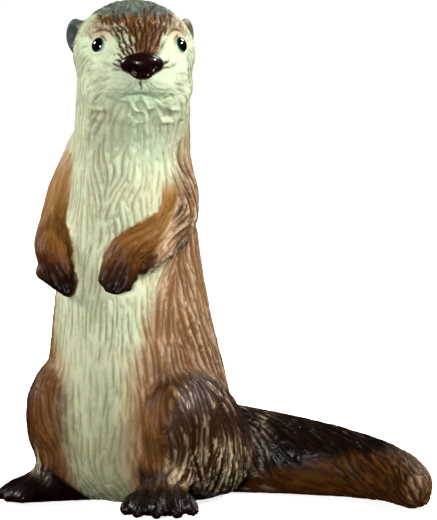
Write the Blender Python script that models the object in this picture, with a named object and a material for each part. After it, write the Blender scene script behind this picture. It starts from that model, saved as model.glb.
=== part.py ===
"""Toy figure of a Eurasian otter sitting up on its haunches, moulded in soft PVC, 68 mm tall.

The figure faces -Y with its left side towards +X, and stands on z = 0. The forms of the body
are rounded tubes through a few stations. They are fused into one body, as the sculptor's
model was, and thin cuts then part that body into the pieces that a person would name.
All sizes below are in millimetres. MM turns them into Blender's metres.
"""

import math

import bmesh
import bpy
import numpy as np
from mathutils import Matrix, Vector

MM = 0.001

# Driving dimensions
HEAD_TURN = 29.0  # degrees that the head looks towards the figure's left
HEAD_PIVOT = (-0.25, 0.0, 60.3)  # centre of the skull, over the neck
CUT = 0.3  # width of the cuts between pieces
MARGIN = 0.35  # how far a piece's cutter stands outside the limb that it frees
VOXEL = 0.42  # grain of the fusing step
FUSE_PASSES = 5  # smoothing passes that round the joins between forms
BODY_FACES = 9000  # triangles left in the fused body before it is cut

CUTTER_FACES = 600  # triangles in a cutter that is fused from several forms

# Triangles left in each kind of piece
FACES = {
    "head": 2000,
    "neck": 480,
    "trunk": 2000,
    "tail": 800,
    "foreleg": 400,
    "forepaw": 380,
    "hind_leg": 400,
    "hind_foot": 560,
    "ear": 240,
    "eye": 160,
    "nose": 280,
}

# Paint of the pieces: base colour and roughness
PAINT = {
    "cream": ((0.62, 0.60, 0.44), 0.5),
    "tan": ((0.38, 0.22, 0.11), 0.45),
    "brown": ((0.20, 0.09, 0.04), 0.42),
    "dark": ((0.06, 0.03, 0.02), 0.4),
    "gloss_black": ((0.012, 0.009, 0.009), 0.12),
}


def clear_scene():
    for obj in list(bpy.data.objects):
        bpy.data.objects.remove(obj, do_unlink=True)


# ---------------------------------------------------------------- shaping tools
def eased(stations, per_span):
    """Rows of a smooth curve through the stations, per_span rows to each gap between two."""
    rows = np.array(stations, float)
    padded = np.vstack([2 * rows[0] - rows[1], rows, 2 * rows[-1] - rows[-2]])
    out = []
    for i in range(len(rows) - 1):
        before, a, b, after = padded[i : i + 4]
        for t in np.arange(per_span) / per_span:
            out.append(
                a
                + 0.5 * t * (b - before)
                + t * t * (before - 2.5 * a + 2 * b - 0.5 * after)
                + t**3 * (1.5 * (a - b) + 0.5 * (after - before))
            )
    return np.array(out + [rows[-1]])


def tube(stations, side, grow=0.0, per_span=4, corners=20, cap_rings=4, blunt=0.9, level=False):
    """A closed rounded tube as a bmesh.

    Each station is x, y, z, half width along side, half depth across it. The ends are domes
    whose height is blunt times the smaller half size there. The rings stand square to the
    tube's path, or lie level if level is set.
    """
    rows = eased(stations, per_span)
    centres = rows[:, :3]
    halves = rows[:, 3:5] + grow
    ways = np.tile((0.0, 0.0, 1.0), (len(rows), 1)) if level else np.gradient(centres, axis=0)
    ways /= np.linalg.norm(ways, axis=1)[:, None]
    lean = np.linspace(0, math.pi / 2, cap_rings + 1)[1:]
    rings = []
    for end, sign in ((0, -1), (-1, 1)):
        dome = [
            (
                centres[end] + sign * ways[end] * halves[end].min() * blunt * math.sin(a),
                ways[end],
                halves[end] * math.cos(a),
            )
            for a in lean
        ]
        rings.append(dome)
    body = list(zip(centres, ways, halves))
    whole = rings[0][::-1] + body + rings[1]

    bm = bmesh.new()
    loops = []
    for centre, way, half in whole:
        way = Vector(way)
        across = Vector(side) - way * Vector(side).dot(way)
        across.normalize()
        deep = way.cross(across)
        if half.max() < 1e-6:
            loops.append([bm.verts.new(Vector(centre) * MM)])
            continue
        turn = [2 * math.pi * k / corners for k in range(corners)]
        loops.append(
            [
                bm.verts.new(
                    (Vector(centre) + across * half[0] * math.cos(a) + deep * half[1] * math.sin(a))
                    * MM
                )
                for a in turn
            ]
        )
    for low, high in zip(loops, loops[1:]):
        for k in range(corners):
            near, far = k % len(low), (k + 1) % len(low)
            up_near, up_far = k % len(high), (k + 1) % len(high)
            corner = [low[near], low[far], high[up_far], high[up_near]]
            bm.faces.new(list(dict.fromkeys(corner)))
    bmesh.ops.recalc_face_normals(bm, faces=bm.faces)
    return bm


def ball(centre, radii, turn=0.0, tilt=0.0, grow=0.0, segments=20, rows=12):
    """An ellipsoid as a bmesh, turned about Z and tilted about its own X, in degrees."""
    bm = bmesh.new()
    size = [(r + grow) * MM for r in radii]
    place = (
        Matrix.Translation(Vector(centre) * MM)
        @ Matrix.Rotation(math.radians(turn), 4, "Z")
        @ Matrix.Rotation(math.radians(tilt), 4, "X")
        @ Matrix.Diagonal((*size, 1))
    )
    bmesh.ops.create_uvsphere(bm, u_segments=segments, v_segments=rows, radius=1, matrix=place)
    return bm


def block(low, high):
    """A box between two corners as a bmesh."""
    bm = bmesh.new()
    middle = [(a + b) / 2 * MM for a, b in zip(low, high)]
    size = [(b - a) * MM for a, b in zip(low, high)]
    place = Matrix.Translation(middle) @ Matrix.Diagonal((*size, 1))
    bmesh.ops.create_cube(bm, size=1, matrix=place)
    return bm


def half_space(point, normal, reach=60.0):
    """A box that fills the side of a plane to which normal points, as a bmesh."""
    bm = block((-reach, -reach, 0), (reach, reach, reach))
    upright = Vector(normal).to_track_quat("Z", "Y").to_matrix().to_4x4()
    bmesh.ops.transform(bm, matrix=Matrix.Translation(Vector(point) * MM) @ upright, verts=bm.verts)
    return bm


def as_object(name, forms):
    """One object from one bmesh or several."""
    mesh = bpy.data.meshes.new(name)
    joined = bmesh.new()
    for form in forms:
        piece = bpy.data.meshes.new("piece")
        form.to_mesh(piece)
        form.free()
        joined.from_mesh(piece)
        bpy.data.meshes.remove(piece)
    joined.to_mesh(mesh)
    joined.free()
    obj = bpy.data.objects.new(name, mesh)
    bpy.context.scene.collection.objects.link(obj)
    return obj


def bake(obj):
    """Replaces an object's mesh by the mesh that its modifiers give."""
    graph = bpy.context.evaluated_depsgraph_get()
    mesh = bpy.data.meshes.new_from_object(obj.evaluated_get(graph))
    obj.modifiers.clear()
    obj.data = mesh


def fused(name, forms, voxel, passes):
    """One object whose skin wraps all the forms, rounded at the joins."""
    obj = as_object(name, forms)
    fuse = obj.modifiers.new("Fuse", "REMESH")
    fuse.mode = "VOXEL"
    fuse.voxel_size = voxel * MM
    round_off = obj.modifiers.new("Round", "SMOOTH")
    round_off.factor = 0.5
    round_off.iterations = passes
    bake(obj)
    return obj


def one_cutter(forms, voxel):
    """Several overlapping forms as one closed bmesh, for cutting with."""
    obj = fused("cutter", forms, voxel, 2)
    thin_out(obj, CUTTER_FACES)
    bm = bmesh.new()
    bm.from_mesh(obj.data)
    bpy.data.objects.remove(obj, do_unlink=True)
    return bm


def keep_main_body(obj):
    """Drops the crumbs that a cut leaves, keeping the largest connected part."""
    bm = bmesh.new()
    bm.from_mesh(obj.data)
    left = set(bm.verts)
    groups = []
    while left:
        group = {left.pop()}
        edge_of_group = list(group)
        while edge_of_group:
            vert = edge_of_group.pop()
            fresh = {e.other_vert(vert) for e in vert.link_edges} - group
            group |= fresh
            edge_of_group.extend(fresh)
        left -= group
        groups.append(group)
    groups.sort(key=len)
    crumbs = [v for group in groups[:-1] for v in group]
    bmesh.ops.delete(bm, geom=crumbs, context="VERTS")
    bm.to_mesh(obj.data)
    bm.free()


def carve(obj, inside=(), outside=()):
    """Keeps what of obj lies inside the first cutters and outside the others."""
    cuts = [("DIFFERENCE", form) for form in outside] + [("INTERSECT", form) for form in inside]
    for operation, form in cuts:
        cutter = as_object("cutter", [form])
        cutter.hide_render = True
        cutter.display_type = "WIRE"
        modifier = obj.modifiers.new(operation.title(), "BOOLEAN")
        modifier.operation = operation
        modifier.object = cutter
        bake(obj)
        bpy.data.objects.remove(cutter, do_unlink=True)
    keep_main_body(obj)


def thin_out(obj, faces):
    """Collapses short edges until about that many triangles are left."""
    obj.data.calc_loop_triangles()
    modifier = obj.modifiers.new("Thin", "DECIMATE")
    modifier.ratio = min(1.0, faces / len(obj.data.loop_triangles))
    modifier.use_collapse_triangulate = True
    bake(obj)


def finished(obj, paint):
    thin_out(obj, FACES[obj.name.replace("_left", "").replace("_right", "")])
    colour, roughness = PAINT[paint]
    material = bpy.data.materials.get(paint) or bpy.data.materials.new(paint)
    material.use_nodes = True
    shader = material.node_tree.nodes["Principled BSDF"]
    shader.inputs["Base Color"].default_value = (*colour, 1)
    shader.inputs["Roughness"].default_value = roughness
    material.diffuse_color = (*colour, 1)
    obj.data.materials.clear()
    obj.data.materials.append(material)
    obj.data.polygons.foreach_set("material_index", [0] * len(obj.data.polygons))
    obj.data.shade_smooth()
    obj.data.set_sharp_from_angle(angle=math.radians(50))
    return obj


# ---------------------------------------------------------------- trunk and neck
# An upright column that leans back a little to the rump. Each row is height, front, back,
# half width and how far its middle stands to the left of the figure's upright axis.
COLUMN = [
    (0.0, 5.0, 13.0, 10.2, 0.0),
    (1.8, 8.4, 14.8, 11.8, 0.0),
    (4.0, 10.6, 15.5, 12.6, 0.0),
    (8.0, 12.0, 15.7, 12.9, 0.0),
    (13.0, 12.4, 15.0, 12.5, 0.0),
    (18.0, 12.2, 13.7, 11.8, -0.2),
    (25.0, 11.6, 11.8, 10.6, -0.5),
    (32.0, 10.9, 10.3, 9.5, -0.5),
    (38.0, 10.1, 9.3, 8.7, -0.4),
    (44.0, 9.3, 8.9, 8.0, -0.4),
    (50.0, 8.6, 9.0, 7.7, -0.4),
    (56.0, 8.2, 9.2, 7.5, -0.4),
    (61.0, 6.0, 8.4, 7.0, -0.4),
]
NECK_LOW = 47.5
NECK_HIGH = 53.4
JAW_SLOPE = 6.0  # degrees that the cut under the jaw rises towards the back of the head


def column():
    stations = [
        (aside, (back - front) / 2, height, half, (back + front) / 2)
        for height, front, back, half, aside in COLUMN
    ]
    return tube(stations, side=(1, 0, 0), per_span=3, corners=28, blunt=0.3, level=True)


# ---------------------------------------------------------------- head
# Stations run from the back of the skull to the muzzle, in the head's own frame: how far
# forward, height over the pivot, half width, half height.
SKULL = [
    (-6.0, -0.6, 6.3, 5.7),
    (-3.0, 0.0, 7.8, 7.0),
    (1.2, 0.2, 8.3, 7.3),
    (4.5, -0.1, 8.0, 6.9),
    (7.0, -0.7, 7.1, 6.0),
    (8.7, -1.5, 5.8, 4.9),
    (10.2, -2.1, 4.4, 3.8),
]
PAD = (9.5, 2.5, -3.9, (2.7, 2.5, 1.9))  # whisker pad: forward, sideways, height, radii
CHEEK = (3.2, 4.4, -4.2, (3.5, 4.6, 3.8))
CHIN = (8.4, 0.0, -5.2, (3.4, 3.0, 1.7))
NOSE_TOP = (12.0, -0.75, (2.7, 1.5, 1.4))  # forward, height, radii of the broad upper lobe
NOSE_FOOT = (12.2, -1.75, (1.7, 1.2, 1.3))  # the narrower lobe that ends over the lip
NOSE_WING = (11.7, 1.7, -1.0, (1.25, 1.3, 1.15))  # forward, sideways, height, radii of a wing
NOSE_VOXEL = 0.22
EYE = (8.5, 5.05, 1.3, 1.15)  # forward, sideways, height, radius
EAR = (-3.2, 7.5, 2.5, (1.5, 1.1, 2.5))  # forward, sideways, height, radii
EAR_TURN = 38.0  # degrees that each ear's cup opens outwards from straight ahead
EAR_CUP = 1.75  # radius of the ball that hollows the ear


def head_ways():
    turn = math.radians(HEAD_TURN)
    ahead = Vector((math.sin(turn), -math.cos(turn), 0))
    left = Vector((math.cos(turn), math.sin(turn), 0))
    return ahead, left


def on_head(forward, sideways, height):
    ahead, left = head_ways()
    return Vector(HEAD_PIVOT) + ahead * forward + left * sideways + Vector((0, 0, height))


def head_tube(rows, grow=0.0, **shape):
    stations = [(*on_head(forward, 0, height), wide, high) for forward, height, wide, high in rows]
    return tube(stations, side=head_ways()[1], grow=grow, **shape)


def head_forms():
    forms = [head_tube(SKULL, blunt=0.55)]
    for side in (-1, 1):
        for forward, sideways, height, radii in (PAD, CHEEK):
            forms.append(ball(on_head(forward, side * sideways, height), radii, turn=HEAD_TURN))
    forward, sideways, height, radii = CHIN
    forms.append(ball(on_head(forward, sideways, height), radii, turn=HEAD_TURN))
    return forms


def nose_forms(grow=0.0):
    """A broad upper lobe, a narrow lower one and a wing at each side."""
    lobes = [(NOSE_TOP[0], 0, *NOSE_TOP[1:]), (NOSE_FOOT[0], 0, *NOSE_FOOT[1:])]
    lobes += [(NOSE_WING[0], side * NOSE_WING[1], *NOSE_WING[2:]) for side in (-1, 1)]
    return [ball(on_head(f, s, h), radii, HEAD_TURN, grow=grow) for f, s, h, radii in lobes]




def eye_form(side, grow=0.0):
    forward, sideways, height, radius = EYE
    centre = on_head(forward, side * sideways, height)
    return ball(centre, (radius,) * 3, grow=grow, segments=16, rows=10)


def ear_form(side, grow=0.0):
    forward, sideways, height, radii = EAR
    centre = on_head(forward, side * sideways, height)
    return ball(centre, radii, turn=HEAD_TURN + side * EAR_TURN, grow=grow, segments=18)


def ear_cup(side):
    forward, sideways, height, radii = EAR
    turn = math.radians(HEAD_TURN + side * EAR_TURN)
    opening = Vector((math.sin(turn), -math.cos(turn), 0))
    centre = on_head(forward, side * sideways, height) + opening * (radii[1] + 0.75)
    return ball(centre, (EAR_CUP * 0.7, EAR_CUP, EAR_CUP * 1.05), turn=math.degrees(turn))


# ---------------------------------------------------------------- forelegs
# Each arm runs from the shoulder to the knuckles, held against the chest. Stations are
# x, y, z, half width, half depth.
ARMS = {
    "left": [
        (5.3, -0.6, 48.0, 2.7, 3.2),
        (6.0, -1.0, 44.5, 2.9, 3.4),
        (7.1, -2.0, 40.8, 3.0, 3.4),
        (7.2, -4.2, 37.3, 2.8, 3.1),
        (5.3, -8.2, 35.7, 2.3, 2.5),
        (3.2, -11.0, 34.6, 2.2, 2.1),
    ],
    "right": [
        (-6.4, -0.4, 48.0, 3.0, 3.4),
        (-7.5, -1.2, 44.8, 3.0, 3.5),
        (-8.7, -2.4, 41.2, 3.0, 3.5),
        (-9.1, -4.6, 37.2, 2.75, 3.2),
        (-8.7, -8.0, 35.2, 2.5, 2.7),
        (-7.5, -10.4, 33.8, 2.4, 2.2),
    ],
}
PAW_TIP = {"left": (2.1, -13.0, 28.7), "right": (-5.3, -11.4, 28.8)}  # ends of the fingers
PAW_SIZE = (2.6, 1.6)  # half width and half depth of the back of the paw
FINGERS = 4
FINGER_SHARE = 0.42  # share of the paw's length that the free fingers take
FINGER_RADIUS = 0.74
FINGER_PITCH = 1.3
OUTER_FINGER = 0.9  # how much shorter the two outer fingers are


def paw_frame(side):
    """Wrist, the way along the paw, the way across it, and its length."""
    wrist = Vector(ARMS[side][-1][:3])
    way = Vector(PAW_TIP[side]) - wrist
    outward = Vector((wrist.x, wrist.y, 0))
    return wrist, way.normalized(), way.cross(outward).normalized(), way.length


def arm_tube(side, grow=0.0):
    return tube(ARMS[side], side=(1, 0, 0.2), grow=grow, corners=14, per_span=2, cap_rings=3)


def palm_tube(side, grow=0.0):
    wrist, way, across, length = paw_frame(side)
    reach = length * (1 - FINGER_SHARE)
    back = [
        (*(wrist - way * 0.5), PAW_SIZE[0] * 0.85, PAW_SIZE[1]),
        (*(wrist + way * reach * 0.5), *PAW_SIZE),
        (*(wrist + way * reach), PAW_SIZE[0], PAW_SIZE[1] * 0.75),
    ]
    return tube(back, side=across, grow=grow, corners=14, per_span=2)


def paw_zone(side, grow):
    """A plain flattened tube that takes in the whole paw, for cutting it free."""
    wrist, way, across, length = paw_frame(side)
    wide, deep = PAW_SIZE
    back = [
        (*(wrist - way * 1.5), wide, deep),
        (*(wrist + way * length * 0.5), wide, deep),
        (*(wrist + way * (length - 1.0)), wide + 0.3, deep * 0.9),
    ]
    return tube(back, side=across, grow=grow, corners=14, per_span=2, cap_rings=3)


def finger_tubes(side):
    wrist, way, across, length = paw_frame(side)
    for k in range(FINGERS):
        shift = across * FINGER_PITCH * (k - (FINGERS - 1) / 2)
        short = OUTER_FINGER if k in (0, FINGERS - 1) else 0.0
        root = wrist + way * length * (1 - FINGER_SHARE) * 0.7 + shift
        end = wrist + way * (length - short - FINGER_RADIUS) + shift * 0.95
        ray = [(*root, FINGER_RADIUS, FINGER_RADIUS), (*end, FINGER_RADIUS, FINGER_RADIUS * 0.9)]
        yield tube(ray, side=across, corners=10, per_span=2)


# ---------------------------------------------------------------- hind legs
# Each haunch is an upright oval at the side of the rump, with the folded shank before it.
# Each foot is a broad webbed paddle with five toes, laid flat and turned out by its own angle.
HAUNCHES = {  # from back to knee: x, y, z, half width, half height
    "left": [
        (10.6, 6.5, 5.4, 3.6, 5.0),
        (11.2, 2.8, 6.8, 4.7, 6.6),
        (10.5, -1.6, 9.4, 5.1, 7.6),
        (9.8, -5.6, 11.2, 5.0, 7.6),
        (9.0, -9.4, 11.6, 3.9, 5.8),
    ],
    "right": [
        (-9.8, 6.5, 5.4, 3.4, 5.0),
        (-10.2, 2.8, 6.8, 4.5, 6.6),
        (-9.2, -1.6, 10.2, 5.1, 7.8),
        (-8.4, -5.6, 12.2, 5.1, 7.8),
        (-7.6, -9.2, 12.6, 4.0, 6.0),
    ],
}
SHANKS = {"left": (8.0, -7.6, 6.0), "right": (-7.6, -6.4, 6.2)}
SHANK_RADII = (3.9, 4.2, 4.6)
LEG_VOXEL = 0.5
FOOT_HEEL = {"left": (7.0, -6.4), "right": (-6.6, -5.2)}  # where the heel stands
FOOT_TURN = {"left": 17.0, "right": -60.0}  # degrees from straight ahead towards +X
FOOT = [  # forward, height, half width, half height
    (-1.5, 2.2, 2.4, 2.5),
    (2.0, 2.5, 3.0, 2.8),
    (5.0, 2.1, 4.0, 2.4),
    (7.4, 1.4, 4.6, 1.7),
]
TOES = 5
TOE_ROOT = 4.0  # forward of the heel
TOE_REACH = (9.0, 10.2, 10.8, 10.4, 9.4)  # from the inner toe to the outer one
TOE_SPREAD = 60.0  # degrees between the outer toes
TOE_RADIUS = 1.15
TOE_HEIGHT = 1.0


def foot_place(side, forward, sideways, height):
    turn = math.radians(FOOT_TURN[side])
    heel = Vector((*FOOT_HEEL[side], 0))
    ahead = Vector((math.sin(turn), -math.cos(turn), 0))
    left = Vector((math.cos(turn), math.sin(turn), 0))
    return heel + ahead * forward + left * sideways + Vector((0, 0, height))


def foot_ways(side):
    turn = math.radians(FOOT_TURN[side])
    return (math.cos(turn), math.sin(turn), 0)


def foot_zone(side, grow):
    """A plain fan-shaped tube that takes in the whole foot, for cutting it free."""
    wide = max(TOE_REACH) * math.sin(math.radians(TOE_SPREAD / 2)) + TOE_RADIUS
    rows = [(-1.5, 2.6, 2.8), (3.0, 2.9, 3.6), (6.5, 2.4, wide * 0.85), (10.4, 1.4, wide)]
    stations = [(*foot_place(side, f, 0, h), half, h + 0.5) for f, h, half in rows]
    return tube(stations, foot_ways(side), grow, corners=16, per_span=2, cap_rings=3)


def foot_forms(side):
    left = foot_ways(side)
    outward = 1 if side == "left" else -1
    stations = [(*foot_place(side, f, 0, h), wide, high) for f, h, wide, high in FOOT]
    forms = [tube(stations, side=left, corners=18, per_span=3)]
    for k, reach in enumerate(TOE_REACH):
        fan = math.radians(TOE_SPREAD) * (k / (TOES - 1) - 0.5) * outward
        root = foot_place(side, TOE_ROOT, TOE_ROOT * math.sin(fan) * 0.6, TOE_HEIGHT + 2.0)
        knuckle = foot_place(
            side, reach * 0.8 * math.cos(fan), reach * 0.8 * math.sin(fan), TOE_HEIGHT + 0.9
        )
        tip = foot_place(side, reach * math.cos(fan), reach * math.sin(fan), TOE_HEIGHT - 0.2)
        ray = [
            (*root, TOE_RADIUS, TOE_RADIUS),
            (*knuckle, TOE_RADIUS, TOE_RADIUS * 1.1),
            (*tip, TOE_RADIUS * 0.85, TOE_RADIUS * 0.9),
        ]
        forms.append(tube(ray, side=left, corners=12, per_span=2))
    return forms


def leg_forms(side, grow=0.0):
    haunch = tube(HAUNCHES[side], side=(1, 0, 0), grow=grow, per_span=3)
    return [haunch, ball(SHANKS[side], SHANK_RADII, grow=grow)]


# ---------------------------------------------------------------- tail
# A thick tail that leaves the rump behind and sweeps round to the figure's left along the
# floor, its tip curling forwards. Stations are x, y, half width, height.
TAIL = [
    (0.3, 9.6, 6.2, 13.0),
    (6.1, 11.8, 6.1, 12.4),
    (11.9, 12.8, 5.8, 11.6),
    (18.3, 13.6, 5.4, 10.5),
    (25.6, 13.6, 4.9, 9.1),
    (32.0, 11.8, 4.3, 7.6),
    (36.2, 8.6, 3.5, 6.2),
    (37.8, 5.8, 2.7, 4.8),
]
TAIL_SINK = 0.06  # share of its height that the tail's round underside is flattened by


def tail_form(grow=0.0):
    stations = [
        (x, y, high * (0.5 - TAIL_SINK), half, high * (0.5 + TAIL_SINK))
        for x, y, half, high in TAIL
    ]
    return tube(stations, side=(0.3, -1, 0), grow=grow, corners=20, per_span=4)


# ---------------------------------------------------------------- fusing and parting
def fused_body():
    """All forms of the body fused into one skin, rounded at the joins and flat underneath."""
    forms = [column(), tail_form(), *head_forms()]
    for side in ("left", "right"):
        forms += [*leg_forms(side), *foot_forms(side)]
        forms += [arm_tube(side), palm_tube(side), *finger_tubes(side)]
    for side in (-1, 1):
        forms.append(ear_form(side))
    body = fused("body", forms, VOXEL, FUSE_PASSES)
    thin_out(body, BODY_FACES)
    carve(body, inside=[half_space((0, 0, 0), (0, 0, 1), reach=90)])
    return body


def cut_planes():
    """The two planes that part head, neck and trunk, as point and upward normal."""
    ahead, _ = head_ways()
    slope = math.radians(JAW_SLOPE)
    jaw = Vector((0, 0, math.cos(slope))) + ahead * math.sin(slope)
    return ((0, 0, NECK_HIGH), jaw), ((0, 0, NECK_LOW), Vector((0, 0, 1)))


def above(plane):
    point, normal = plane
    return half_space(Vector(point) + normal * CUT / 2, normal)


def below(plane):
    point, normal = plane
    return half_space(Vector(point) - normal * CUT / 2, -normal)


def piece(name, body, paint, inside=(), outside=()):
    obj = bpy.data.objects.new(name, body.data.copy())
    bpy.context.scene.collection.objects.link(obj)
    carve(obj, inside, outside)
    return finished(obj, paint)


def wrist_plane(side):
    wrist, way, _, _ = paw_frame(side)
    return wrist + way * 0.4, -way


def main():
    clear_scene()
    body = fused_body()
    jaw, collar = cut_planes()
    reach = MARGIN + CUT

    head_cuts = [one_cutter(nose_forms(CUT), NOSE_VOXEL)]
    for side in (-1, 1):
        head_cuts += [eye_form(side, CUT * 0.6), ear_form(side, reach)]
        name = "left" if side > 0 else "right"
        piece("ear_" + name, body, "brown", [ear_form(side, MARGIN)], [ear_cup(side)])
        finished(as_object("eye_" + name, [eye_form(side)]), "gloss_black")
    finished(fused("nose", nose_forms(), NOSE_VOXEL, 2), "gloss_black")
    piece("head", body, "cream", [above(jaw)], head_cuts)
    piece("neck", body, "cream", [below(jaw), above(collar)])

    trunk_cuts = [tail_form(reach)]
    leg_gaps = []
    for side in ("left", "right"):
        wrist = wrist_plane(side)
        arm = [arm_tube(side, MARGIN), above(wrist), below(collar)]
        piece("foreleg_" + side, body, "brown", arm)
        piece("forepaw_" + side, body, "dark", [paw_zone(side, MARGIN), below(wrist)])
        leg, leg_gap = (one_cutter(leg_forms(side, g), LEG_VOXEL) for g in (MARGIN, reach))
        foot = [foot_zone(side, MARGIN)]
        piece("hind_foot_" + side, body, "dark", foot, [leg_gap.copy()])
        piece("hind_leg_" + side, body, "tan", [leg])
        trunk_cuts += [arm_tube(side, reach), paw_zone(side, reach)]
        trunk_cuts += [leg_gap.copy(), foot_zone(side, reach)]
        leg_gaps.append(leg_gap)
    piece("tail", body, "brown", [tail_form(MARGIN)], leg_gaps)
    piece("trunk", body, "cream", [below(collar)], trunk_cuts)
    bpy.data.objects.remove(body, do_unlink=True)


main()
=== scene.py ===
# A moulded and hand-painted otter figurine that sits up on its haunches, its tail curled round one side.
# It is one soft PVC casting from a hand-tooled master, sprayed and brushed, with gloss eyes and nose.
import math
import random

import bmesh
import bpy
import numpy as np
from mathutils import Matrix, Vector, noise
from mathutils.kdtree import KDTree


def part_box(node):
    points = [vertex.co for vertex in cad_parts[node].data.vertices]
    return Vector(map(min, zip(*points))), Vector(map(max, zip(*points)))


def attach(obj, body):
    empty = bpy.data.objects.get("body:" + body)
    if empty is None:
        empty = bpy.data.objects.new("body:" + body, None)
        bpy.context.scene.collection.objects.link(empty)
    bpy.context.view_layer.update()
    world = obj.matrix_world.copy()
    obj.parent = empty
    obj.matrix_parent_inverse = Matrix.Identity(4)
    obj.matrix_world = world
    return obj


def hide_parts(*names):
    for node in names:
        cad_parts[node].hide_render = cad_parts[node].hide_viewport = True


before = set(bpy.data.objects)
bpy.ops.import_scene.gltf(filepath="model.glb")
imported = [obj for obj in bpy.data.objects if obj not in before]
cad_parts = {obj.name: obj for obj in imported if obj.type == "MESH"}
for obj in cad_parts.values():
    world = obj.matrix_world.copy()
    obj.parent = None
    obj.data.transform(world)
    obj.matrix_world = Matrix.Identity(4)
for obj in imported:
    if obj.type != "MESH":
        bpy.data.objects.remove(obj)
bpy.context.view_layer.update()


# -------------------- the casting
# Head, limbs, ears and tail are one casting in soft PVC and run into each other without a joint.
# The blank is worked up from the parts that it replaces, which swell until they meet, in millimetres.
MM = 1000.0  # millimetres in a metre
SWELL = 0.2  # how far each part swells to reach its neighbour
BED = {"eye_left": 0.12, "eye_right": 0.12, "nose": 0.5}  # how far the skin passes under each gloss piece
GRAIN = 0.17  # facet size of the worked surface
FLESH = sorted(set(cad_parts) - set(BED))


def cast(name, shape):
    """The shape under way as a mesh of that name."""
    mesh = bpy.data.meshes.new(name)
    shape.to_mesh(mesh)
    shape.free()
    return mesh


def placed(name, data):
    """A new object in the scene that holds the data."""
    thing = bpy.data.objects.new(name, data)
    bpy.context.scene.collection.objects.link(thing)
    return thing


def welded(node, grow):
    """A part of the frame as one closed mesh in millimetres, grown by that much."""
    shape = bmesh.new()
    shape.from_mesh(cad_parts[node].data)
    bmesh.ops.scale(shape, vec=(MM, MM, MM), verts=shape.verts)
    bmesh.ops.remove_doubles(shape, verts=shape.verts, dist=0.002)
    shape.normal_update()
    for vert in shape.verts:
        vert.co += vert.normal * grow
    return cast("welded", shape)


def modified(mesh, kind, weights=(), **settings):
    """The mesh as one modifier leaves it, which may act by the weights of its points."""
    holder = placed("holder", mesh)
    if len(weights):
        group = holder.vertex_groups.new(name="weight")
        for level in np.unique(weights):
            group.add(np.flatnonzero(weights == level).tolist(), float(level), "REPLACE")
        settings["vertex_group"] = group.name
    modifier = holder.modifiers.new(kind, kind)
    for name, value in settings.items():
        setattr(modifier, name, value)
    graph = bpy.context.evaluated_depsgraph_get()
    result = bpy.data.meshes.new_from_object(holder.evaluated_get(graph))
    bpy.data.objects.remove(holder)
    return result


def mesh_from(name, points, faces):
    """A mesh from an array of points and one of faces that all have as many corners."""
    mesh = bpy.data.meshes.new(name)
    mesh.vertices.add(len(points))
    mesh.vertices.foreach_set("co", points.astype(np.float32).ravel())
    mesh.loops.add(faces.size)
    mesh.loops.foreach_set("vertex_index", faces.astype(np.int32).ravel())
    mesh.polygons.add(len(faces))
    starts = np.arange(len(faces), dtype=np.int32) * faces.shape[1]
    mesh.polygons.foreach_set("loop_start", starts)
    mesh.update(calc_edges=True)
    return mesh


def fall(distance):
    """1 at no distance, 0 from a distance of 1, and smooth between."""
    left_over = np.clip(1 - distance, 0, 1)
    return left_over * left_over * (3 - 2 * left_over)


def rise(value, low, high):
    """0 up to low, 1 from high, and smooth between."""
    t = np.clip((value - low) / (high - low), 0, 1)
    return t * t * (3 - 2 * t)


def unit(vectors):
    """The same vectors at length 1."""
    length = np.linalg.norm(vectors, axis=-1, keepdims=True)
    return vectors / np.maximum(length, 1e-9)


def pulled(items, name, width, kind):
    """One property of a mesh's items as an array, a row to each item."""
    values = np.zeros(len(items) * width, kind)
    items.foreach_get(name, values)
    return values.reshape(-1, width)


class Surface:
    """A mesh as arrays: points, faces, edges, and what is worked out from them."""

    def __init__(self, mesh):
        self.points = pulled(mesh.vertices, "co", 3, np.float32).astype(float)
        self.faces = pulled(mesh.polygons, "vertices", len(mesh.polygons[0].vertices), np.int32)
        self.edges = pulled(mesh.edges, "vertices", 2, np.int32)

    def normals(self, points=None):
        """The outward way at every point."""
        at = self.points if points is None else points
        corner = [at[column] for column in self.faces.T]
        ways = np.cross(corner[2] - corner[0], corner[-1] - corner[1])
        total = np.zeros_like(at)
        for column in self.faces.T:
            for axis in range(3):
                total[:, axis] += np.bincount(column, ways[:, axis], len(at))
        return unit(total)

    def relaxed(self, field, rounds):
        """Values at the points, each drawn towards its neighbours' mean again and again."""
        field = field.reshape(len(self.points), -1).astype(float)
        first, second = self.edges[:, 0], self.edges[:, 1]
        many = len(field)
        share = 1 / np.maximum(np.bincount(self.edges.ravel(), minlength=many), 1)
        for _ in range(rounds):
            for column in range(field.shape[1]):
                values = field[:, column]
                total = np.bincount(first, values[second], many)
                total += np.bincount(second, values[first], many)
                field[:, column] = values + 0.5 * (total * share - values)
        return field

    def main_shell(self):
        """Keeps the largest connected shell and drops what is shut inside it."""
        label = np.arange(len(self.points))
        first, second = self.edges[:, 0], self.edges[:, 1]
        while True:
            low = np.minimum(label[first], label[second])
            new = label.copy()
            np.minimum.at(new, label[first], low)
            np.minimum.at(new, label[second], low)
            new = new[new]
            if (new == label).all():
                break
            label = new
        keep = label == np.bincount(label).argmax()
        place = np.cumsum(keep) - 1
        self.points = self.points[keep]
        self.faces = place[self.faces[keep[self.faces[:, 0]]]]
        self.edges = place[self.edges[keep[self.edges[:, 0]]]]


def corners(node):
    """The lowest and the highest corner of a part, in millimetres."""
    low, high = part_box(node)
    return np.array(low) * MM, np.array(high) * MM


def spot(node, across, back, up):
    """A place in a part's box, each way from 0 at its low side to 1 at its high side."""
    low, high = corners(node)
    return low + (high - low) * np.array((across, back, up))


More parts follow.
